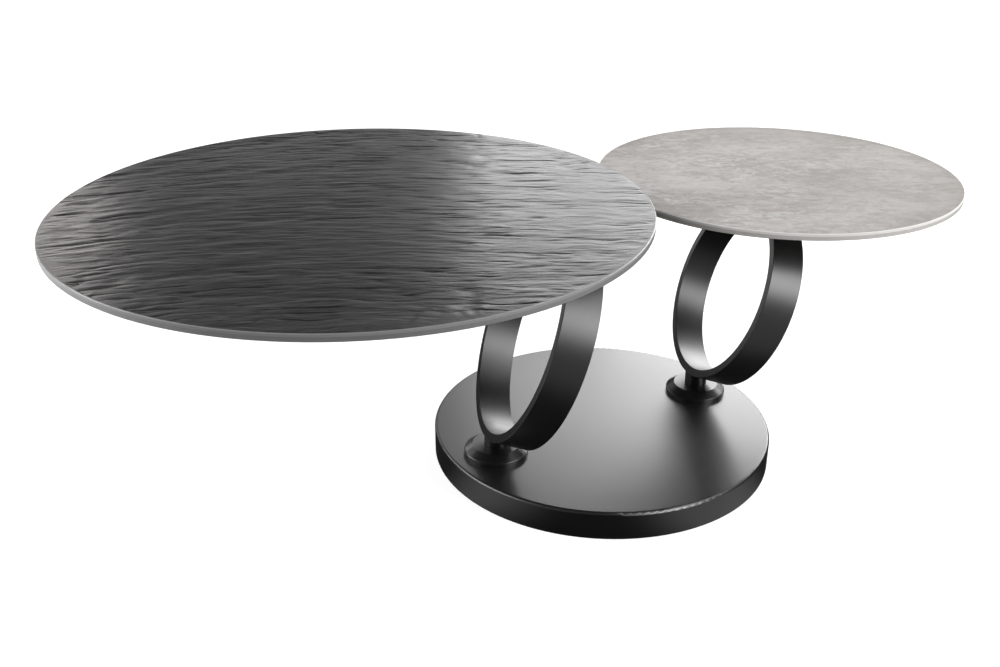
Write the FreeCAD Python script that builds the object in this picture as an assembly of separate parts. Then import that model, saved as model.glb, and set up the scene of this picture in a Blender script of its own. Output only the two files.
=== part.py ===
import FreeCAD, Part
import math
import os

# Swivel coffee table: a heavy round base carries two round tops of different height.
# Each top stands on one leaning flat-bar ring, whose post turns in a bearing in the base.
# Origin: middle of the base on the floor.  +Z up.  -Y is the front.  Millimetres.

# ---- driving dimensions: tops ----
big_top_diameter = 800.0
small_top_diameter = 550.0
ceramic_thickness = 4.0
glass_thickness = 6.0
ceramic_bevel = 1.0
glass_arris = 0.7

# ---- driving dimensions: rings, all leaning the same way ----
big_ring_diameter = 320.0
small_ring_diameter = 288.0
bar_width = 50.0
bar_thickness = 12.0
bar_edge_chamfer = 0.6
ring_lean = 20.0
rest_heading = 10.5
ring_height = 76.0

# ---- driving dimensions: where a top's middle stands from its post, along and across the lean ----
big_top_along = -181.0
big_top_across = 64.0
small_top_along = 131.0
small_top_across = 72.0

# ---- driving dimensions: heads between rings and tops ----
head_gap = 1.5
head_block_length = 64.0
head_block_inset = 2.5
head_block_corner = 6.0
plate_thickness = 6.0
plate_edge_chamfer = 1.5
big_plate_diameter = 320.0
small_plate_diameter = 240.0
plate_edge_past_head = 55.0
bond_thickness = 1.0
bond_inset = 10.0

# ---- driving dimensions: base ----
base_diameter = 504.0
base_height = 42.0
base_edge_radius = 4.0
cover_wall = 3.0
cover_play = 0.5
cover_floor_gap = 1.0
bottom_plate_thickness = 3.0
glide_height = 2.5
glide_diameter = 30.0
outer_glide_count = 6
glide_edge_margin = 35.0
ballast_thickness = 20.0
ballast_rim_width = 14.0
ballast_hub_diameter = 84.0
ballast_boss_diameter = 112.0
ballast_rib_width = 16.0
post_edge_margin = 67.0
post_line_angle = 31.0

# ---- driving dimensions: pivots ----
flange_diameter = 92.0
flange_rim_height = 7.0
flange_bevel_width = 12.0
flange_bevel_rise = 8.0
flange_edge_chamfer = 1.0
post_diameter = 34.0
journal_diameter = 25.0
housing_diameter = 50.0
bush_wall = 2.0
bush_length = 12.0
bush_flange_diameter = 32.0
running_gap = 0.05
seat_play = 0.15
nut_pocket_diameter = 42.0
nut_thread_diameter = 16.0
nut_width = 24.0
nut_height = 8.0
nut_clearance = 1.0
spring_height = 1.5
pivot_washer_thickness = 2.0
pivot_washer_diameter = 34.0
ring_nut_diameter = 72.0
ring_nut_height = 8.0
ring_nut_slots = 4
ring_nut_slot_width = 8.0
ring_nut_slot_depth = 4.0
ring_nut_pocket_play = 2.0

# ---- driving dimensions: screws ----
head_screw_diameter = 8.0
head_screw_length = 12.0
head_screw_spacing_along = 17.0
head_screw_spacing_across = 36.0
cover_screw_diameter = 6.0
cover_screw_length = 14.0
cover_screw_count = 6
cover_screw_edge_margin = 100.0
screw_socket_share = 0.5

# ---- circles in the base that follow ----
post_circle_radius = base_diameter / 2 - post_edge_margin
glide_circle_radius = base_diameter / 2 - glide_edge_margin
cover_screw_circle_radius = base_diameter / 2 - cover_screw_edge_margin

# ---- heights that follow ----
plate_face = glide_height
ballast_bottom = plate_face + bottom_plate_thickness
cover_underside = base_height - cover_wall
flange_rim_top = base_height + flange_rim_height
flange_top = flange_rim_top + flange_bevel_rise
nut_bottom = ballast_bottom + nut_clearance
nut_top = nut_bottom + nut_height
spring_top = nut_top + spring_height
lower_bush_bottom = spring_top + pivot_washer_thickness
lower_bush_top = lower_bush_bottom + bush_wall + bush_length
upper_bush_shoulder = flange_top - bush_wall
ring_nut_top = nut_bottom + ring_nut_height

# ---- the lean as unit vectors, in the frame of one pivot: +X is the way the ring leans ----
lean_sin = math.sin(math.radians(ring_lean))
lean_cos = math.cos(math.radians(ring_lean))
ring_axis = FreeCAD.Vector(lean_cos, 0, -lean_sin)
ring_up = FreeCAD.Vector(lean_sin, 0, lean_cos)
ring_foot = FreeCAD.Vector(0, 0, ring_height)
Z = FreeCAD.Vector(0, 0, 1)


def revolved(profile):
    """Solid of revolution about Z from (radius, height) corners."""
    points = [FreeCAD.Vector(radius, 0, height) for radius, height in profile]
    wire = Part.makePolygon(points + points[:1])
    return Part.Face(wire).revolve(FreeCAD.Vector(), Z, 360)


def tube(outer_radius, inner_radius, bottom, top):
    """Plain sleeve about Z."""
    return revolved([
        (inner_radius, bottom),
        (outer_radius, bottom),
        (outer_radius, top),
        (inner_radius, top),
    ])


def upright(radius, bottom, top, x=0.0, y=0.0):
    """Solid upright cylinder."""
    return Part.makeCylinder(radius, top - bottom, FreeCAD.Vector(x, y, bottom), Z)


def polar(radius, angle):
    """Point on a circle, as an (x, y) pair."""
    return radius * math.cos(math.radians(angle)), radius * math.sin(math.radians(angle))


def cut_all(shape, tools):
    """Shape less every tool, in one go."""
    return shape.cut(Part.makeCompound(tools))


def countersunk_screw(diameter, length, x, y, head_face, direction):
    """Countersunk screw with a hexagon socket; direction +1 points its head up, -1 down."""
    head_depth = diameter / 2
    socket_depth = head_depth * 0.9
    shank = revolved([
        (0, -length),
        (diameter / 2, -length),
        (diameter / 2, -head_depth),
        (diameter, 0),
        (0, 0),
    ])
    corners = [polar(diameter * screw_socket_share / math.sqrt(3), 60 * i) for i in range(6)]
    hexagon = [FreeCAD.Vector(cx, cy, -socket_depth) for cx, cy in corners]
    socket = Part.Face(Part.makePolygon(hexagon + hexagon[:1])).extrude(Z * socket_depth)
    screw = shank.cut(socket)
    if direction < 0:
        screw.rotate(FreeCAD.Vector(), FreeCAD.Vector(1, 0, 0), 180)
    screw.translate(FreeCAD.Vector(x, y, head_face))
    return screw


def countersunk_hole(diameter, length, x, y, head_face, direction):
    """Room for that screw: a cone for its head and a plain hole for its shank."""
    hole = revolved([
        (0, -length),
        (diameter / 2, -length),
        (diameter / 2, -diameter / 2),
        (diameter, 0),
        (0, 0),
    ])
    if direction < 0:
        hole.rotate(FreeCAD.Vector(), FreeCAD.Vector(1, 0, 0), 180)
    hole.translate(FreeCAD.Vector(x, y, head_face))
    return hole


# ---- base ----

post_points = {
    "big": polar(post_circle_radius, post_line_angle + 180),
    "small": polar(post_circle_radius, post_line_angle),
}
cover_screw_points = [
    polar(cover_screw_circle_radius, post_line_angle + (i + 0.5) * 360 / cover_screw_count)
    for i in range(cover_screw_count)
]


def base_cover():
    """Spun steel shell with a softly rounded top edge and a hole at each pivot."""
    outer = upright(base_diameter / 2, cover_floor_gap, base_height)
    top_edge = [e for e in outer.Edges if isinstance(e.Curve, Part.Circle) and e.CenterOfMass.z > cover_underside]
    outer = outer.makeFillet(base_edge_radius, top_edge)
    room = upright(base_diameter / 2 - cover_wall, cover_floor_gap, cover_underside)
    holes = [
        upright(housing_diameter / 2 + seat_play, cover_underside, base_height, x, y)
        for x, y in post_points.values()
    ]
    return cut_all(outer, [room] + holes)


def ballast():
    """Cast weight: a plate with a raised rim, a hub and a boss at each pivot, joined by a rib."""
    plate_radius = base_diameter / 2 - cover_wall - cover_play
    plate_top = ballast_bottom + ballast_thickness
    shape = revolved([
        (0, ballast_bottom),
        (plate_radius, ballast_bottom),
        (plate_radius, cover_underside - 2 * cover_play),
        (plate_radius - 2 * cover_play, cover_underside),
        (plate_radius - ballast_rim_width, cover_underside),
        (plate_radius - ballast_rim_width, plate_top),
        (0, plate_top),
    ])
    rib = Part.makeBox(
        2 * post_circle_radius,
        ballast_rib_width,
        cover_underside - plate_top,
        FreeCAD.Vector(-post_circle_radius, -ballast_rib_width / 2, plate_top),
    )
    rib.rotate(FreeCAD.Vector(), Z, post_line_angle)
    raised = [rib, upright(ballast_hub_diameter / 2, plate_top, cover_underside)]
    raised += [
        upright(ballast_boss_diameter / 2, plate_top, cover_underside, x, y)
        for x, y in post_points.values()
    ]
    body = shape.fuse(raised).removeSplitter()
    bores = []
    for x, y in post_points.values():
        bores.append(upright(housing_diameter / 2 + seat_play, ballast_bottom, cover_underside, x, y))
        bores.append(upright(ring_nut_diameter / 2 + ring_nut_pocket_play, ballast_bottom, ring_nut_top, x, y))
    bores += [
        countersunk_hole(cover_screw_diameter, cover_screw_length, x, y, plate_face, -1)
        for x, y in cover_screw_points
    ]
    return cut_all(body, bores)


def bottom_plate():
    """Round sheet that closes the base from below."""
    plate = upright(base_diameter / 2 - cover_wall - cover_play, plate_face, ballast_bottom)
    return cut_all(plate, [
        countersunk_hole(cover_screw_diameter, cover_screw_length, x, y, plate_face, -1)
        for x, y in cover_screw_points
    ])


def bottom_plate_screws():
    """Countersunk screws from below, through the bottom plate into the ballast."""
    return Part.makeCompound([
        countersunk_screw(cover_screw_diameter, cover_screw_length, x, y, plate_face, -1)
        for x, y in cover_screw_points
    ])


def glides():
    """Felt glides under the bottom plate: one in the middle and a circle near its edge."""
    places = [(0, 0)]
    places += [
        polar(glide_circle_radius, post_line_angle + i * 360 / outer_glide_count)
        for i in range(outer_glide_count)
    ]
    return Part.makeCompound([upright(glide_diameter / 2, 0, glide_height, x, y) for x, y in places])


# ---- one pivot, about its own Z axis ----

def bearing_housing():
    """Turned housing: a bevelled flange on the cover and a sleeve down through the ballast."""
    outer_radius = flange_diameter / 2
    sleeve_radius = housing_diameter / 2
    bore_radius = journal_diameter / 2 + bush_wall
    recess_radius = bush_flange_diameter / 2 + seat_play
    return revolved([
        (bore_radius, upper_bush_shoulder),
        (recess_radius, upper_bush_shoulder),
        (recess_radius, flange_top),
        (outer_radius - flange_bevel_width, flange_top),
        (outer_radius - flange_edge_chamfer, flange_rim_top),
        (outer_radius, flange_rim_top - flange_edge_chamfer),
        (outer_radius, base_height),
        (sleeve_radius, base_height),
        (sleeve_radius, nut_bottom),
        (nut_pocket_diameter / 2, nut_bottom),
        (nut_pocket_diameter / 2, lower_bush_bottom + bush_wall),
        (bore_radius, lower_bush_bottom + bush_wall),
    ])


def flanged_bush(flange_face, flange_shoulder, sleeve_end):
    """Plain bearing with a collar that takes the end thrust."""
    bore = journal_diameter / 2
    return revolved([
        (bore, flange_face),
        (bush_flange_diameter / 2, flange_face),
        (bush_flange_diameter / 2, flange_shoulder),
        (bore + bush_wall, flange_shoulder),
        (bore + bush_wall, sleeve_end),
        (bore, sleeve_end),
    ])


def ring_nut():
    """Slotted nut that clamps housing, cover and ballast together."""
    nut = tube(ring_nut_diameter / 2, housing_diameter / 2, nut_bottom, ring_nut_top)
    slots = []
    for i in range(ring_nut_slots):
        slot = Part.makeBox(
            2 * ring_nut_slot_depth,
            ring_nut_slot_width,
            ring_nut_height,
            FreeCAD.Vector(ring_nut_diameter / 2 - ring_nut_slot_depth, -ring_nut_slot_width / 2, nut_bottom),
        )
        slot.rotate(FreeCAD.Vector(), Z, i * 360 / ring_nut_slots)
        slots.append(slot)
    return cut_all(nut, slots)


def pivot_washer():
    """Steel washer that turns with the spindle against the lower bush."""
    return tube(
        pivot_washer_diameter / 2,
        nut_thread_diameter / 2,
        spring_top,
        lower_bush_bottom - running_gap,
    )


def spring_washer():
    """Dished spring washer that gives the pivot its steady friction."""
    outer_radius = nut_width / 2
    inner_radius = nut_thread_diameter / 2
    blade = spring_height / 2
    return revolved([
        (inner_radius, nut_top),
        (outer_radius, nut_top + blade),
        (outer_radius, spring_top),
        (inner_radius, nut_top + blade),
    ])


def lock_nut():
    """Hexagon nut with chamfered corners under the spindle."""
    corners = [polar(nut_width / math.sqrt(3), 60 * i) for i in range(6)]
    points = [FreeCAD.Vector(x, y, nut_bottom) for x, y in corners]
    hexagon = Part.Face(Part.makePolygon(points + points[:1])).extrude(Z * nut_height)
    corner_radius = nut_width / math.sqrt(3)
    chamfer = corner_radius - nut_width / 2
    rounding = revolved([
        (0, nut_bottom),
        (nut_width / 2, nut_bottom),
        (corner_radius, nut_bottom + chamfer / 2),
        (corner_radius, nut_top - chamfer / 2),
        (nut_width / 2, nut_top),
        (0, nut_top),
    ])
    thread = upright(nut_thread_diameter / 2, nut_bottom, nut_top)
    return hexagon.common(rounding).cut(thread)


# ---- one leaning ring with its post and head, in the frame of its pivot ----

def ring_middle(ring_radius):
    """Middle of a ring whose outside rests on the post."""
    return ring_foot + ring_up * ring_radius


def ring_disc(ring_radius, length):
    """Solid leaning disc of the ring's outside diameter."""
    return Part.makeCylinder(ring_radius, length, ring_middle(ring_radius) - ring_axis * (length / 2), ring_axis)


def ring_head(ring_radius):
    """Middle of the bar's outside face at the head, opposite the post."""
    return ring_foot + ring_up * (2 * ring_radius)


def plate_underside(ring_radius):
    """Height of the mounting plate's lower face."""
    return ring_head(ring_radius).z + bar_width / 2 * lean_sin + head_gap


def leaning_ring(ring_radius):
    """Flat bar rolled to a ring and welded shut, with eased edges."""
    outside = ring_radius
    inside = ring_radius - bar_thickness
    half = bar_width / 2
    ease = bar_edge_chamfer
    ring = revolved([
        (inside, -half + ease),
        (inside + ease, -half),
        (outside - ease, -half),
        (outside, -half + ease),
        (outside, half - ease),
        (outside - ease, half),
        (inside + ease, half),
        (inside, half - ease),
    ])
    ring.rotate(FreeCAD.Vector(), FreeCAD.Vector(0, 1, 0), 90 + ring_lean)
    ring.translate(ring_middle(ring_radius))
    return ring


def spindle(ring_radius):
    """Post with a saddle under the ring, a bearing journal and a threaded end."""
    shoulder = flange_top + running_gap
    journal_end = lower_bush_bottom - running_gap
    turned = revolved([
        (0, nut_bottom - running_gap),
        (nut_thread_diameter / 2, nut_bottom - running_gap),
        (nut_thread_diameter / 2, journal_end),
        (journal_diameter / 2 - running_gap, journal_end),
        (journal_diameter / 2 - running_gap, shoulder),
        (post_diameter / 2, shoulder),
        (post_diameter / 2, ring_height + bar_width / 2),
        (0, ring_height + bar_width / 2),
    ])
    return turned.cut(ring_disc(ring_radius, 4 * bar_width))


def head_screw_points(ring_radius):
    """Four screws around the middle of the head block."""
    head = ring_head(ring_radius)
    return [
        (head.x + along * head_screw_spacing_along / 2, across * head_screw_spacing_across / 2)
        for along in (-1, 1)
        for across in (-1, 1)
    ]


def head_holes(ring_radius):
    """Room for the head screws."""
    face = plate_underside(ring_radius) + plate_thickness
    return [
        countersunk_hole(head_screw_diameter, head_screw_length, x, y, face, 1)
        for x, y in head_screw_points(ring_radius)
    ]


def head_block(ring_radius):
    """Wedge that fills the space between the leaning bar and the level plate."""
    head = ring_head(ring_radius)
    half = bar_width / 2 * lean_cos - head_block_inset
    top = plate_underside(ring_radius)
    bottom = head.z - bar_width
    block = Part.makeBox(
        2 * half,
        head_block_length,
        top - bottom,
        FreeCAD.Vector(head.x - half, -head_block_length / 2, bottom),
    )
    corners = [e for e in block.Edges if abs(e.tangentAt(e.FirstParameter).z) > 0.9]
    block = block.makeFillet(head_block_corner, corners)
    return cut_all(block, [ring_disc(ring_radius, 4 * bar_width)] + head_holes(ring_radius))


def head_screws(ring_radius):
    """Countersunk screws from the plate into the head block."""
    face = plate_underside(ring_radius) + plate_thickness
    return Part.makeCompound([
        countersunk_screw(head_screw_diameter, head_screw_length, x, y, face, 1)
        for x, y in head_screw_points(ring_radius)
    ])


# ---- one top, in the frame of its pivot ----

def plate_place(ring_radius, plate_diameter, along, across):
    """Middle of the plate, on the line from the ring's head to the top's middle."""
    head = ring_head(ring_radius)
    run = math.hypot(along - head.x, across)
    share = (plate_diameter / 2 - plate_edge_past_head) / run
    return head.x + (along - head.x) * share, across * share


def mounting_plate(ring_radius, plate_diameter, along, across):
    """Round steel plate with a bevelled lower edge."""
    x, y = plate_place(ring_radius, plate_diameter, along, across)
    bottom = plate_underside(ring_radius)
    radius = plate_diameter / 2
    plate = revolved([
        (0, bottom),
        (radius - plate_edge_chamfer, bottom),
        (radius, bottom + plate_edge_chamfer),
        (radius, bottom + plate_thickness),
        (0, bottom + plate_thickness),
    ])
    plate.translate(FreeCAD.Vector(x, y, 0))
    return cut_all(plate, head_holes(ring_radius))


def bond_layer(ring_radius, plate_diameter, along, across):
    """Adhesive layer between plate and glass."""
    x, y = plate_place(ring_radius, plate_diameter, along, across)
    bottom = plate_underside(ring_radius) + plate_thickness
    return upright(plate_diameter / 2 - bond_inset, bottom, bottom + bond_thickness, x, y)


def glass_disc(ring_radius, top_diameter, along, across):
    """Toughened glass under the ceramic, with a ground lower arris."""
    bottom = plate_underside(ring_radius) + plate_thickness + bond_thickness
    radius = top_diameter / 2
    glass = revolved([
        (0, bottom),
        (radius - glass_arris, bottom),
        (radius, bottom + glass_arris),
        (radius, bottom + glass_thickness),
        (0, bottom + glass_thickness),
    ])
    glass.translate(FreeCAD.Vector(along, across, 0))
    return glass


def ceramic_disc(ring_radius, top_diameter, along, across):
    """Ceramic surface with a bevelled upper edge."""
    bottom = plate_underside(ring_radius) + plate_thickness + bond_thickness + glass_thickness
    radius = top_diameter / 2
    top = bottom + ceramic_thickness
    ceramic = revolved([
        (0, bottom),
        (radius, bottom),
        (radius, top - ceramic_bevel),
        (radius - ceramic_bevel, top),
        (0, top),
    ])
    ceramic.translate(FreeCAD.Vector(along, across, 0))
    return ceramic


def swivel(side, ring_diameter, plate_diameter, top_diameter, along, across):
    """All nodes of one pivot and its top, turned and moved to their place."""
    ring_radius = ring_diameter / 2
    pieces = {
        "bearing_housing": bearing_housing(),
        "upper_bush": flanged_bush(flange_top, upper_bush_shoulder, upper_bush_shoulder - bush_length),
        "lower_bush": flanged_bush(lower_bush_bottom, lower_bush_bottom + bush_wall, lower_bush_top),
        "ring_nut": ring_nut(),
        "pivot_washer": pivot_washer(),
        "spring_washer": spring_washer(),
        "lock_nut": lock_nut(),
        "spindle": spindle(ring_radius),
        "ring": leaning_ring(ring_radius),
        "head_block": head_block(ring_radius),
        "mounting_plate": mounting_plate(ring_radius, plate_diameter, along, across),
        "head_screws": head_screws(ring_radius),
        "bond_layer": bond_layer(ring_radius, plate_diameter, along, across),
        "glass": glass_disc(ring_radius, top_diameter, along, across),
        "ceramic": ceramic_disc(ring_radius, top_diameter, along, across),
    }
    x, y = post_points[side]
    for shape in pieces.values():
        shape.rotate(FreeCAD.Vector(), Z, rest_heading)
        shape.translate(FreeCAD.Vector(x, y, 0))
    return {side + "_" + name: shape for name, shape in pieces.items()}


nodes = {
    "base_cover": base_cover(),
    "ballast": ballast(),
    "bottom_plate": bottom_plate(),
    "bottom_plate_screws": bottom_plate_screws(),
    "glides": glides(),
}
nodes.update(swivel(
    "big",
    big_ring_diameter,
    big_plate_diameter,
    big_top_diameter,
    big_top_along,
    big_top_across,
))
nodes.update(swivel(
    "small",
    small_ring_diameter,
    small_plate_diameter,
    small_top_diameter,
    small_top_along,
    small_top_across,
))

os.makedirs("parts", exist_ok=True)
for name, shape in nodes.items():
    shape.exportStep("parts/" + name + ".step")
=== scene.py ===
import math

import bpy
import numpy as np
from mathutils import Matrix, Vector


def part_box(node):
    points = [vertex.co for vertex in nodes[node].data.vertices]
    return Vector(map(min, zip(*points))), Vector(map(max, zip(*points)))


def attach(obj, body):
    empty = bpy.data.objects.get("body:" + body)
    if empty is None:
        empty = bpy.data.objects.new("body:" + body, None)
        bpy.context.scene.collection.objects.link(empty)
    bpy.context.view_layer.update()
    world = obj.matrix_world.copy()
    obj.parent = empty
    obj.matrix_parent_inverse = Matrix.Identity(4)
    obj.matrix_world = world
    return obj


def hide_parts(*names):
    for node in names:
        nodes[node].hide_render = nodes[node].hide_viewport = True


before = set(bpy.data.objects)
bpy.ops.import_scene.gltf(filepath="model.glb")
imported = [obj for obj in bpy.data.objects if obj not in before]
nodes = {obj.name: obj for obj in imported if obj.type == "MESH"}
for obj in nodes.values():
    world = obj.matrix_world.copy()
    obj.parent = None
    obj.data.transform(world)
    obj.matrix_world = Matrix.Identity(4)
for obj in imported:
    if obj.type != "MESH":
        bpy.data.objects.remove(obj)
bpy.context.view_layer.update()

# Swivel coffee table, dressed: a riven-slate big top, a concrete-look small top,
# satin black rings, pivots and base.  Metres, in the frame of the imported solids.


# ---- shader arithmetic ----

class Wire:
    """An output socket of a material that takes part in Python arithmetic."""

    def __init__(self, tree, socket):
        self.tree = tree
        self.socket = socket

    def math(self, operation, *values):
        return make_node(self.tree, "ShaderNodeMath", {"operation": operation}, dict(enumerate(values)))

    def __add__(self, other):
        return self.math("ADD", self, other)

    def __radd__(self, other):
        return self.math("ADD", other, self)

    def __sub__(self, other):
        return self.math("SUBTRACT", self, other)

    def __rsub__(self, other):
        return self.math("SUBTRACT", other, self)

    def __mul__(self, other):
        return self.math("MULTIPLY", self, other)

    def __rmul__(self, other):
        return self.math("MULTIPLY", other, self)

    def clamped(self):
        return self.math("MAXIMUM", self.math("MINIMUM", self, 1.0), 0.0)

    def ramp(self, low, high):
        """0 below low, 1 above high, smooth between."""
        settings = {"interpolation_type": "SMOOTHSTEP"}
        values = {"Value": self, "From Min": low, "From Max": high}
        return make_node(self.tree, "ShaderNodeMapRange", settings, values)


def make_node(tree, kind, settings=None, values=None, output=0):
    """Any node: its settings first, then the values or wires of its sockets."""
    node = tree.nodes.new(kind)
    for name, value in (settings or {}).items():
        setattr(node, name, value)
    for name, value in (values or {}).items():
        if isinstance(value, Wire):
            tree.links.new(value.socket, node.inputs[name])
        else:
            node.inputs[name].default_value = value
    return Wire(tree, node.outputs[output]) if len(node.outputs) else None


class Finish:
    """One material and the patterns it is mixed from."""

    def __init__(self, name):
        self.material = bpy.data.materials.new(name)
        self.material.use_nodes = True
        self.tree = self.material.node_tree
        self.tree.nodes.clear()
        self.place = self.node("ShaderNodeTexCoord", output="Object")

    def node(self, kind, settings=None, values=None, output=0):
        return make_node(self.tree, kind, settings, values, output)

    def turned(self, scale, rotation=(0, 0, 0)):
        """Place on the piece, turned and stretched."""
        values = {"Vector": self.place, "Rotation": rotation, "Scale": scale}
        return self.node("ShaderNodeMapping", None, values)

    def noise(self, vector, scale=1.0, detail=3.0, roughness=0.5, distortion=0.0):
        values = {
            "Vector": vector,
            "Scale": scale,
            "Detail": detail,
            "Roughness": roughness,
            "Distortion": distortion,
        }
        return self.node("ShaderNodeTexNoise", None, values)

    def part_of(self, vector, axis):
        return self.node("ShaderNodeSeparateXYZ", None, {"Vector": vector}, output=axis)

    def shift_along(self, direction):
        """Place on the piece, measured along one direction."""
        settings = {"operation": "DOT_PRODUCT"}
        return self.node("ShaderNodeVectorMath", settings, {0: self.place, 1: direction}, output="Value")

    def distance_from(self, centre):
        """Distance from an upright axis through a point."""
        moved = self.node("ShaderNodeVectorMath", {"operation": "SUBTRACT"}, {0: self.place, 1: centre})
        flat = self.node("ShaderNodeVectorMath", {"operation": "MULTIPLY"}, {0: moved, 1: (1, 1, 0)})
        return self.node("ShaderNodeVectorMath", {"operation": "LENGTH"}, {0: flat}, output="Value")

    def rim(self, centre, radius):
        """1 on the bevel and the wall of a round sheet, 0 on its face."""
        start = radius - sheet_bevel
        return self.distance_from(centre).ramp(start - rim_blur, start + rim_blur)

    def blend(self, share, first, second):
        """Colour that goes from the first to the second as share goes from 0 to 1."""
        sockets = {0: share, 6: opaque(first), 7: opaque(second)}
        return self.node("ShaderNodeMix", {"data_type": "RGBA"}, sockets, output=2)

    def bump(self, height, distance, strength=1.0):
        values = {"Height": height, "Distance": distance, "Strength": strength}
        return self.node("ShaderNodeBump", None, values)

    def principled(self, **values):
        named = {name.replace("_", " "): value for name, value in values.items()}
        return self.node("ShaderNodeBsdfPrincipled", None, named)

    def closed(self, shader):
        """Ends the material with a shader."""
        self.node("ShaderNodeOutputMaterial", None, {"Surface": shader})
        return self.material

    def surface(self, **values):
        """Ends the material with one Principled shader."""
        return self.closed(self.principled(**values))


def opaque(colour):
    """Colour with its fourth number, or a wire as it is."""
    return colour if isinstance(colour, Wire) else (*colour, 1.0)


# ---- places taken from the solids ----

def middle(node):
    low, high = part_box(node)
    return (low + high) / 2


big_centre = middle("big_ceramic")
small_centre = middle("small_ceramic")
big_radius = (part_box("big_ceramic")[1].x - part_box("big_ceramic")[0].x) / 2
small_radius = (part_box("small_ceramic")[1].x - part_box("small_ceramic")[0].x) / 2

# The bevel round both sheets, and half the width over which its colour blends in.
sheet_bevel = 0.001
rim_blur = 0.0003

# The axis of both rings as they stand at rest.
ring_lean = math.radians(20.0)
rest_heading = math.radians(10.5)
ring_axis = (
    math.cos(ring_lean) * math.cos(rest_heading),
    math.cos(ring_lean) * math.sin(rest_heading),
    -math.sin(ring_lean),
)


# ---- finishes ----

def satin_black(name, marks=None, roughness=0.32, gloss=0.5):
    """Satin black lacquer over fine marks."""
    finish = Finish(name)
    black = 0.005
    cloud = finish.noise(finish.place, 6.0)
    fine = finish.noise(finish.place, 1400.0, detail=2.0)
    grain = marks(finish) if marks else finish.noise(finish.place, 240.0)
    shade = finish.blend(0.5 * cloud + 0.5 * grain, (0.8 * black,) * 3, (1.2 * black,) * 3)
    return finish.surface(
        Base_Color=shade,
        Roughness=roughness - 0.03 + 0.03 * cloud + 0.03 * grain,
        Specular_IOR_Level=gloss,
        Normal=finish.bump(0.7 * grain + 0.3 * fine, 0.00003, 0.4),
    )


def rolled_marks(finish):
    """Faint lines along the rolled bar: noise that changes quickly across it and slowly round it."""
    across_bar, round_bar = 420.0, 7.0
    across = finish.shift_along(ring_axis) * across_bar
    height = finish.part_of(finish.place, "Z") * round_bar
    depth = finish.part_of(finish.place, "Y") * round_bar
    lines = finish.node("ShaderNodeCombineXYZ", None, {"X": across, "Y": height, "Z": depth})
    return finish.noise(lines, detail=4.0, roughness=0.6)


def lathe_marks(finish):
    """Faint lines round a turned piece, by height."""
    return finish.noise(finish.turned((25, 25, 900)))


def slate_face():
    """Riven slate ceramic: near-black anthracite with fine cleavage lines; its cut rim is grey.

    Its pattern follows the sheet's grain attribute: place along the lines, place across them, depth.
    It is a little duller towards its right end, and darker where its relief lies deeper, which is painted
    shade in the creases.
    """
    finish = Finish("slate_ceramic")
    grain = finish.node("ShaderNodeAttribute", {"attribute_name": "grain"}, output="Vector")
    depth = finish.part_of(grain, "Z")
    flat = finish.node("ShaderNodeVectorMath", {"operation": "MULTIPLY"}, {0: grain, 1: (1, 1, 0)})

    def lines(along, across, detail=4.0):
        vector = finish.node("ShaderNodeMapping", None, {"Vector": flat, "Scale": (along, across, 1)})
        return finish.noise(vector, detail=detail, roughness=0.6, distortion=0.5)

    broad, streaks, hair = lines(14, 60), lines(38, 170), lines(110, 420, detail=3.0)
    grit = finish.noise(finish.place, 900.0, detail=2.0)
    # The last term darkens the deeper parts of the relief: painted shade in the creases.
    tone = 0.3 * broad + 0.3 * streaks + 0.2 * hair + 0.2 * (1 - depth)
    face = finish.blend(tone.ramp(0.32, 0.68), (0.008, 0.008, 0.008), (0.027, 0.027, 0.027))
    edge = finish.blend(grit, (0.23, 0.23, 0.23), (0.31, 0.31, 0.305))
    right = finish.part_of(flat, "X").ramp(0.2, 0.4)
    roughness = 0.24 + 0.10 * streaks + 0.02 * hair + 0.07 * right
    height = 0.60 * streaks + 0.30 * hair - 0.45
    rim = finish.rim(big_centre, big_radius)
    return finish.surface(
        Base_Color=finish.blend(rim, face, edge),
        Roughness=roughness * (1 - rim) + 0.34 * rim,
        Specular_IOR_Level=0.37,
        Normal=finish.bump(height * (1 - rim), 0.0008),
    )


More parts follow.
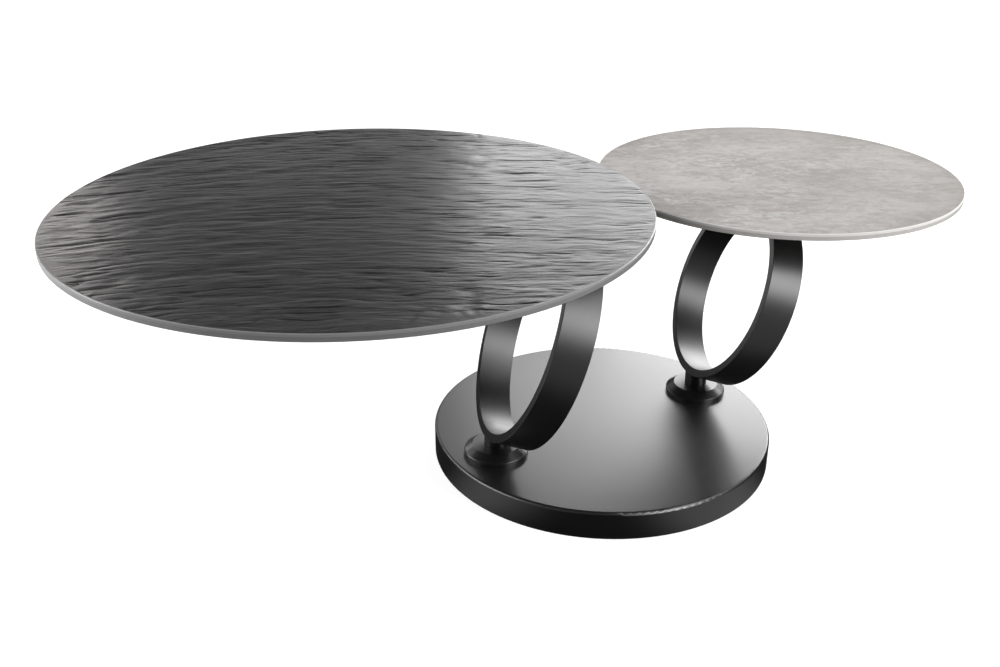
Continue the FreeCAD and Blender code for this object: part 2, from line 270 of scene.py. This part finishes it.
def concrete_face():
    """Concrete-look ceramic: warm light grey, cloudy, with patches of short pale streaks and flecks.

    It is paler to the left and a little darker towards its right, its back and its rim: that darkening is
    painted shade.
    """
    finish = Finish("stone_ceramic")
    cloud = finish.noise(finish.turned((4.5, 6.5, 1)), detail=4.0, roughness=0.55, distortion=0.6)
    smear = finish.noise(finish.turned((14, 30, 1), (0, 0, 0.5)), detail=6.0, roughness=0.66, distortion=1.2)
    grains = finish.turned((55, 85, 1), (0, 0, -0.3))
    mottle = finish.noise(grains, detail=7.0, roughness=0.76, distortion=0.8)
    strokes = finish.turned((45, 190, 1), (0, 0, 1.2))
    streak = finish.noise(strokes, detail=4.0, roughness=0.6, distortion=0.5)
    patch = finish.noise(finish.turned((9, 12, 1), (0, 0, 0.2)), distortion=0.8)
    speck = finish.noise(finish.turned((230, 300, 1)), detail=2.0)
    # Masks of painted shade: darker towards the right, the back and the rim.
    right = finish.part_of(finish.place, "X").ramp(small_centre.x - 0.2, small_centre.x + 0.25)
    back = finish.part_of(finish.place, "Y").ramp(small_centre.y + 0.11, small_centre.y + 0.22)
    outer = finish.distance_from(small_centre).ramp(small_radius - 0.03, small_radius)
    tone = (0.34 * cloud + 0.26 * smear + 0.40 * mottle).ramp(0.39, 0.61)
    warm = finish.blend(tone, (0.248, 0.232, 0.220), (0.410, 0.388, 0.374))
    pale = (patch.ramp(0.44, 0.62) * mottle.ramp(0.46, 0.64) + 0.5 * streak.ramp(0.56, 0.70)).clamped()
    # Fewer pale flecks towards the right, as part of the painted shade.
    flecked = finish.blend(pale * (0.7 - 0.3 * right), warm, (0.480, 0.460, 0.458))
    # Dark specks of the stone, plus painted shade towards the right, the back and the rim, blended into one
    # dark colour below.
    shade = 0.12 * speck.ramp(0.64, 0.74) + 0.32 * right + 0.30 * back + 0.14 * outer
    face = finish.blend(shade, flecked, (0.140, 0.125, 0.110))
    rim = finish.rim(small_centre, small_radius)
    return finish.surface(
        Base_Color=finish.blend(rim, face, (0.72, 0.70, 0.68)),
        Roughness=0.60 + 0.14 * mottle - 0.2 * rim,
        Specular_IOR_Level=0.08,
        Normal=finish.bump((0.5 * smear + 0.5 * mottle - 0.5) * (1 - rim), 0.0004, 0.5),
    )


def painted_glass(name, colour):
    """Back-painted glass with a ground edge."""
    finish = Finish(name)
    grind = finish.noise(finish.turned((40, 40, 2600)), detail=2.0)
    shade = finish.blend(grind, [0.85 * c for c in colour], [1.1 * c for c in colour])
    return finish.surface(
        Base_Color=shade,
        Roughness=0.30 + 0.1 * grind,
        Normal=finish.bump(grind, 0.00005, 0.5),
    )


def turned_metal(name, colour, roughness):
    """Bright machined metal with faint tool marks."""
    finish = Finish(name)
    marks = finish.noise(finish.turned((90, 90, 2200)))
    cloud = finish.noise(finish.place, 60.0, detail=2.0)
    shade = finish.blend(cloud, [0.8 * c for c in colour], colour)
    return finish.surface(
        Base_Color=shade,
        Metallic=1.0,
        Roughness=roughness + 0.12 * marks,
        Normal=finish.bump(marks, 0.00003, 0.5),
    )


def rough_cast(name, colour):
    """Sand-cast iron with a grainy skin."""
    finish = Finish(name)
    grain = finish.noise(finish.place, 420.0, detail=5.0, roughness=0.65)
    lumps = finish.noise(finish.place, 45.0)
    shade = finish.blend(lumps, [0.7 * c for c in colour], [1.2 * c for c in colour])
    return finish.surface(
        Base_Color=shade,
        Metallic=0.6,
        Roughness=0.6 + 0.2 * grain,
        Normal=finish.bump(0.7 * grain + 0.3 * lumps, 0.0004, 0.8),
    )


def felt():
    """Pressed dark felt with loose fibres."""
    finish = Finish("felt")
    fibre = finish.noise(finish.turned((700, 900, 800)), detail=5.0, roughness=0.7, distortion=1.5)
    shade = finish.blend(fibre, (0.03, 0.03, 0.032), (0.12, 0.12, 0.12))
    return finish.surface(
        Base_Color=shade,
        Roughness=0.95,
        Sheen_Weight=0.4,
        Normal=finish.bump(fibre, 0.0006),
    )


def adhesive():
    """Cured black adhesive with a slightly wavy skin."""
    finish = Finish("adhesive")
    wave = finish.noise(finish.place, 160.0)
    return finish.surface(
        Base_Color=finish.blend(wave, (0.02, 0.02, 0.02), (0.045, 0.045, 0.045)),
        Roughness=0.45 + 0.2 * wave,
        Normal=finish.bump(wave, 0.0002, 0.6),
    )


base_finish = satin_black("base_coat", roughness=0.34, gloss=1.0)
turned_finish = satin_black("pivot_coat", lathe_marks, roughness=0.30, gloss=0.65)
ring_finish = satin_black("ring_coat", rolled_marks, roughness=0.37, gloss=0.68)
iron_finish = rough_cast("ballast_iron", (0.11, 0.11, 0.115))
screw_finish = turned_metal("screw_steel", (0.42, 0.42, 0.43), 0.28)
bronze_finish = turned_metal("bush_bronze", (0.56, 0.38, 0.19), 0.25)

finishes = {
    "base_cover": base_finish,
    "bottom_plate": base_finish,
    "ballast": iron_finish,
    "bottom_plate_screws": screw_finish,
    "glides": felt(),
    "bearing_housing": turned_finish,
    "upper_bush": bronze_finish,
    "lower_bush": bronze_finish,
    "ring_nut": screw_finish,
    "pivot_washer": screw_finish,
    "spring_washer": screw_finish,
    "lock_nut": screw_finish,
    "spindle": turned_finish,
    "ring": ring_finish,
    "head_block": turned_finish,
    "mounting_plate": base_finish,
    "head_screws": screw_finish,
    "bond_layer": adhesive(),
    "big_glass": painted_glass("dark_glass", (0.20, 0.20, 0.20)),
    "small_glass": painted_glass("pale_glass", (0.50, 0.48, 0.46)),
    "big_ceramic": slate_face(),
    "small_ceramic": concrete_face(),
}


def wear(piece, material):
    """Gives a piece one material."""
    piece.data.materials.clear()
    piece.data.materials.append(material)


for name, piece in nodes.items():
    plain_name = name.removeprefix("big_").removeprefix("small_")
    wear(piece, finishes.get(name) or finishes[plain_name])


# ---- the big top's riven face ----

def lattice(x, y, seed):
    """Value noise: random numbers on whole-number corners, joined by smooth steps, from -1 to 1."""
    cell_x, cell_y = np.floor(x), np.floor(y)
    part_x, part_y = x - cell_x, y - cell_y
    ease_x = part_x * part_x * part_x * (part_x * (part_x * 6 - 15) + 10)
    ease_y = part_y * part_y * part_y * (part_y * (part_y * 6 - 15) + 10)

    def corner(step_x, step_y):
        """Random number of one corner of each cell, hashed from its place and the seed."""
        key = (cell_x + step_x).astype(np.int64) * 374761393 + (cell_y + step_y).astype(np.int64) * 668265263
        key = (key + seed * 974634777) & 0xFFFFFFFF
        key = ((key ^ (key >> 13)) * 1274126177) & 0xFFFFFFFF
        return ((key ^ (key >> 16)) & 0xFFFF) / 32767.5 - 1.0

    near = corner(0, 0) * (1 - ease_x) + corner(1, 0) * ease_x
    far = corner(0, 1) * (1 - ease_x) + corner(1, 1) * ease_x
    return near * (1 - ease_y) + far * ease_y


# Knots in the slate: place and size, in millimetres from the sheet's middle.
knots = ((135, -26, 24), (243, -158, 22), (130, -326, 20), (-60, 190, 16))


def across_grain(x, y):
    """Place across the cleavage lines, in millimetres.

    It is y plus four shifts.  A parabola lowers the lines towards the left end.  A hyperbola, flat
    to the left of its start, lowers them towards the right end and lifts them there near the front.
    Two noises make them wander, more so to the right.  Round each knot a bell-shaped weight adds a
    noise of its own and spreads the lines.
    """
    left_drop, left_start, left_length = 150, 60, 500
    right_slope, right_start, right_round = 0.045, 90, 60
    past = x - right_start
    turn_near_front = np.clip((y + 190) / 120, -0.8, 1)
    rise = left_drop * np.clip((left_start - x) / left_length, 0, 1) ** 2
    fall = right_slope * (np.hypot(past, right_round) + past) * turn_near_front
    sway = np.clip((x + 300) / 480, 0.45, 1)
    wander = 6.0 * lattice(x / 75, y / 42, 1) + 4.2 * lattice(x / 27, y / 19, 2)
    across = y + rise + fall + sway * wander
    for knot_x, knot_y, size in knots:
        near = np.exp(-((x - knot_x) / (1.7 * size)) ** 2 - ((y - knot_y) / size) ** 2)
        across += near * (7.0 * lattice(x / 15, y / 10, 8) - 0.3 * (y - knot_y))
    return across


def groove(noise, width):
    """1 along the lines where a noise is zero, falling off to both sides as a bell curve."""
    return np.exp(-(noise / width) ** 2)


def cleft_depth(x, across):
    """Depth below the face, 0 to 1, of a riven slate at x and its place across the grain.

    The sum of three ripples of shrinking width, two sets of creases that come and go along their
    length, and shallow terraces where thin flakes have split away.  Each lattice call gives the
    length and the width of its shapes, in millimetres, and a seed.
    """
    swell = 0.5 + 0.5 * lattice(x / 95, across / 29, 3)
    ripple = 0.5 + 0.5 * lattice(x / 52, across / 12, 4)
    fine = 0.5 + 0.5 * lattice(x / 20, across / 5.2, 5)
    long_crease = groove(lattice(x / 110, across / 16, 6), 0.15)
    long_crease *= np.clip(0.45 + 1.5 * lattice(x / 60, across / 34, 9), 0, 1)
    short_crease = groove(lattice(x / 24, across / 10, 10), 0.18)
    short_crease *= np.clip(0.25 + 1.4 * lattice(x / 30, across / 24, 11), 0, 1)
    flake = 2.0 * lattice(x / 75, across / 27, 7)
    terrace = np.clip((flake - np.floor(flake)) / 0.8, 0, 1)
    ripples = 0.22 * swell + 0.22 * ripple + 0.18 * fine
    depth = ripples + 0.30 * long_crease + 0.20 * short_crease + 0.10 * terrace
    return np.clip(depth, 0, 1.2) / 1.2


def eased(share):
    """Smooth step from 0 to 1: three times the square less twice the cube."""
    share = np.clip(share, 0, 1)
    return share * share * (3 - 2 * share)


def crowded(count):
    """Places from -1 to 1 that crowd at both ends: sines of even steps of angle, over the last sine."""
    last_angle = math.radians(80)
    return np.sin(np.linspace(-last_angle, last_angle, count)) / math.sin(last_angle)


def band(inner, outer):
    """Quads between two closed loops of points."""
    return np.c_[inner, outer, np.roll(outer, -1), np.roll(inner, -1)]


def riven_disc(name, centre, radius, bottom, top):
    """Round sheet with a riven upper face.

    The face has rows of points from its left to its right rim, crowded towards the front and the
    back, where one point each closes it, and along each row crowded towards the rim.  It lies below
    the sheet's top by relief * strength * cleft depth, everywhere less than the sheet is thick.
    Strength grows a little to the left and falls off at the right end.  Towards the rim the mean
    depth fades out slowly and what departs from the mean quickly, both as smooth steps.  Round the
    rim follow a bevel, an upright wall and a flat underside.
    """
    rows, columns = 960, 96
    relief, crisp_rim, even_rim = 0.0034, 0.004, 0.045
    inner = radius - sheet_bevel
    row_y = inner * crowded(rows + 2)[1:-1]
    half_row = np.sqrt(inner ** 2 - row_y ** 2)
    x = half_row[:, None] * crowded(columns)[None, :]
    y = np.repeat(row_y[:, None], columns, axis=1)
    x = np.concatenate([x.ravel(), [0.0, 0.0]])
    y = np.concatenate([y.ravel(), [-inner, inner]])
    across = across_grain(x * 1000, y * 1000)
    depth = cleft_depth(x * 1000, across)
    mean = depth.mean()
    inward = inner - np.hypot(x, y)
    sunk = mean * eased(inward / even_rim) + (depth - mean) * eased(inward / crisp_rim)
    to_left = np.clip((-x - 0.12) / 0.20, 0, 1)
    to_right = np.clip((x - 0.20) / 0.14, 0, 1)
    strength = 1 + 0.12 * to_left - 0.40 * to_right
    face = np.c_[x, y, top - relief * strength * np.clip(sunk, 0, 1)]

    row_start = np.arange(rows) * columns
    front, back = rows * columns, rows * columns + 1
    rim = np.concatenate([[front], row_start + columns - 1, [back], row_start[::-1]])
    bevel_loop = len(face) + np.arange(len(rim))
    wall_loop = bevel_loop + len(rim)
    hub = wall_loop[-1] + 1
    heading = np.arctan2(y[rim], x[rim])
    loops = [
        np.c_[radius * np.cos(heading), radius * np.sin(heading), np.full(len(rim), height)]
        for height in (top - sheet_bevel, bottom)
    ]
    points = np.concatenate([face, *loops, [[0.0, 0.0, bottom]]])
    points[:, 0] += centre.x
    points[:, 1] += centre.y

    step = np.arange(columns - 1)
    corner = (row_start[:-1, None] + step[None, :]).ravel()
    last = row_start[-1] + step
    quads = [
        np.c_[corner, corner + 1, corner + columns + 1, corner + columns],
        band(rim, bevel_loop),
        band(bevel_loop, wall_loop),
    ]
    triangles = [
        np.c_[np.full(len(step), front), step + 1, step],
        np.c_[np.full(len(step), back), last, last + 1],
        np.c_[np.full(len(rim), hub), np.roll(wall_loop, -1), wall_loop],
    ]
    faces = np.concatenate(quads).tolist() + np.concatenate(triangles).tolist()

    mesh = bpy.data.meshes.new(name)
    mesh.from_pydata(points, [], faces)
    mesh.polygons.foreach_set("use_smooth", np.ones(len(faces), bool))
    mesh.set_sharp_from_angle(angle=math.radians(40))
    mesh.update()
    grain = mesh.attributes.new("grain", "FLOAT_VECTOR", "POINT")
    off_face = np.zeros((len(points) - len(face), 3))
    grain.data.foreach_set("vector", np.concatenate([np.c_[x, across / 1000, depth], off_face]).ravel())
    piece = bpy.data.objects.new(name, mesh)
    bpy.context.scene.collection.objects.link(piece)
    return piece


slate_low, slate_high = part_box("big_ceramic")
slate = riven_disc("slate_top", big_centre, big_radius, slate_low.z, slate_high.z)
wear(slate, finishes["big_ceramic"])
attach(slate, "big_table")
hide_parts("big_ceramic")


# ---- floor, light and camera ----

def ray_kinds(tree):
    """Two switches: 1 for rays straight from the camera or through glass, and 1 for rays from gloss."""
    outputs = make_node(tree, "ShaderNodeLightPath").socket.node.outputs
    rays = ("Camera", "Transmission", "Glossy")
    camera, clear, gloss = (Wire(tree, outputs[f"Is {ray} Ray"]) for ray in rays)
    return (camera + clear).clamped(), gloss


def pale_floor():
    """White studio floor: lit paint that goes over to plain white away from the table.

    In gloss rays it glows instead: dim in front, brighter to both sides and far to the left, a painted
    reflection of light that no lamp gives.
    """
    finish = Finish("pale_floor")
    white = (1, 1, 1, 1)
    paint, shown_paint = (0.15, 0.15, 0.15, 1), (0.32, 0.32, 0.32, 1)
    straight, gloss = ray_kinds(finish.tree)
    x, y = finish.part_of(finish.place, "X"), finish.part_of(finish.place, "Y")
    away = finish.distance_from(Vector((-0.1, 0, 0))).ramp(0.7, 1.8)
    aside = x + 0.035
    # Masks of a glow seen only in gloss rays: painted reflections, bright to both sides of the front and far
    # to the left.
    sides = (aside * aside).ramp(0.002, 0.03) * (0 - y).ramp(0.08, 0.2)
    left = (0 - x).ramp(1.1, 1.5)
    gloss_glow = 0.02 + 0.48 * sides + 1.5 * left
    lit = finish.node("ShaderNodeBsdfDiffuse", None, {"Color": paint})
    dim = finish.node("ShaderNodeEmission", None, {"Color": white, "Strength": gloss_glow})
    shade = finish.node("ShaderNodeBsdfDiffuse", None, {"Color": shown_paint})
    glow = finish.node("ShaderNodeEmission", None, {"Color": white, "Strength": 0.84 + 0.16 * away})
    unseen = finish.node("ShaderNodeMixShader", None, {0: gloss, 1: lit, 2: dim})
    shown = finish.node("ShaderNodeAddShader", None, {0: shade, 1: glow})
    return finish.closed(finish.node("ShaderNodeMixShader", None, {0: straight, 1: unseen, 2: shown}))


def floor_sheet(reach, material):
    """Flat square stage piece, reach metres to each side."""
    corners = [(-reach, -reach, 0), (reach, -reach, 0), (reach, reach, 0), (-reach, reach, 0)]
    mesh = bpy.data.meshes.new("floor")
    mesh.from_pydata(corners, [], [(0, 1, 2, 3)])
    mesh.materials.append(material)
    piece = bpy.data.objects.new("floor", mesh)
    bpy.context.scene.collection.objects.link(piece)


floor_sheet(14.0, pale_floor())


def studio_world():
    """White to straight rays, dim to lit paint; gloss sees a band of light, brighter to the right."""
    world = bpy.data.worlds.new("studio")
    world.use_nodes = True
    bpy.context.scene.world = world
    tree = world.node_tree
    tree.nodes.clear()
    fill = 0.12
    way = make_node(tree, "ShaderNodeTexCoord", output="Generated")
    height = make_node(tree, "ShaderNodeSeparateXYZ", None, {"Vector": way}, output="Z")
    right = make_node(tree, "ShaderNodeSeparateXYZ", None, {"Vector": way}, output="X")
    straight, gloss = ray_kinds(tree)
    band_light = height.ramp(0.38, 0.46) * (1 - height.ramp(0.52, 0.62)) * (0.6 + 0.8 * right.ramp(0.1, 0.6))
    strength = straight + (1 - straight) * (fill + gloss * (band_light - fill))
    background = make_node(tree, "ShaderNodeBackground", None, {"Color": (1, 1, 1, 1), "Strength": strength})
    make_node(tree, "ShaderNodeOutputWorld", None, {"Surface": background})


studio_world()


def round_table(azimuth, elevation):
    """Place of a side lamp; azimuth 0 is behind the table, 90 to its right."""
    a, e = math.radians(azimuth), math.radians(elevation)
    way = Vector((math.sin(a) * math.cos(e), math.cos(a) * math.cos(e), math.sin(e)))
    return table_middle + way * side_distance


def softbox(name, place, target, width, height, radiance, tint=(1, 1, 1)):
    """Rectangular lamp at a place, turned to a target."""
    lamp = bpy.data.lights.new(name, "AREA")
    lamp.shape = "RECTANGLE"
    lamp.size, lamp.size_y = width, height
    lamp.energy = radiance * math.pi * width * height
    lamp.color = tint
    holder = bpy.data.objects.new(name, lamp)
    holder.location = place
    holder.rotation_euler = (Vector(target) - Vector(place)).to_track_quat("-Z", "Y").to_euler()
    holder.visible_camera = False
    bpy.context.scene.collection.objects.link(holder)


# Rear panels stand in one upright plane and shine straight forward:
# x and z of the middle, width, height, radiance, tint.
rear_plane = 1.6
warm, neutral = (1.0, 0.95, 0.94), (1, 1, 1)
rear_panels = {
    "rear_inner": (0.22, 0.88, 0.44, 0.42, 6.1, neutral),
    "rear_outer": (1.10, 0.88, 1.32, 0.42, 8.2, neutral),
    "rear_low": (0.76, 0.42, 1.18, 0.46, 7.0, neutral),
    "rear_middle": (-0.12, 0.84, 0.24, 0.46, 4.8, neutral),
    "rear_fade": (-0.35, 0.84, 0.22, 0.46, 0.8, neutral),
    "rear_centre": (-0.94, 0.48, 0.94, 0.56, 0.8, neutral),
    "rear_left": (-1.59, 0.80, 0.54, 0.52, 3.9, warm),
}
for name, (x, z, width, height, radiance, tint) in rear_panels.items():
    softbox(name, (x, rear_plane, z), (x, 0, z), width, height, radiance, tint)

# Side boxes stand round the table and look at its middle:
# azimuth, elevation, width, height, radiance.
table_middle = Vector((0, 0, 0.2))
side_distance = 2.6
side_boxes = {
    "right_front": (127, 23, 1.3, 1.15, 11.0),
    "right_upper": (112, 44, 1.5, 1.0, 3.6),
    "right_rear": (48, 31, 1.3, 1.3, 5.5),
    "left_front": (-105, 14, 1.6, 1.2, 5.0),
    "left_upper": (-78, 30, 1.4, 0.9, 9.0),
}
for name, (azimuth, elevation, width, height, radiance) in side_boxes.items():
    softbox(name, round_table(azimuth, elevation), table_middle, width, height, radiance)


def camera_at(place, pitch, roll, focal_length, sensor_width):
    """The scene's camera: at a place, pitched down from level and rolled, angles in degrees."""
    lens = bpy.data.cameras.new("camera")
    lens.sensor_width = sensor_width
    lens.lens = focal_length
    camera = bpy.data.objects.new("camera", lens)
    tilt = Matrix.Rotation(math.radians(90 - pitch), 4, "X")
    camera.matrix_world = Matrix.Translation(place) @ tilt @ Matrix.Rotation(math.radians(roll), 4, "Z")
    bpy.context.scene.collection.objects.link(camera)
    bpy.context.scene.camera = camera


picture_width = 1000      # pixels
focal_pixels = 1118.8     # focal length in the same pixels
sensor_width = 36.0
camera_at(
    place=(-0.1536, -1.4885, 0.8866),
    pitch=25.21,
    roll=0.2,
    focal_length=focal_pixels / picture_width * sensor_width,
    sensor_width=sensor_width,
)
bpy.context.scene.view_settings.view_transform = "Standard"
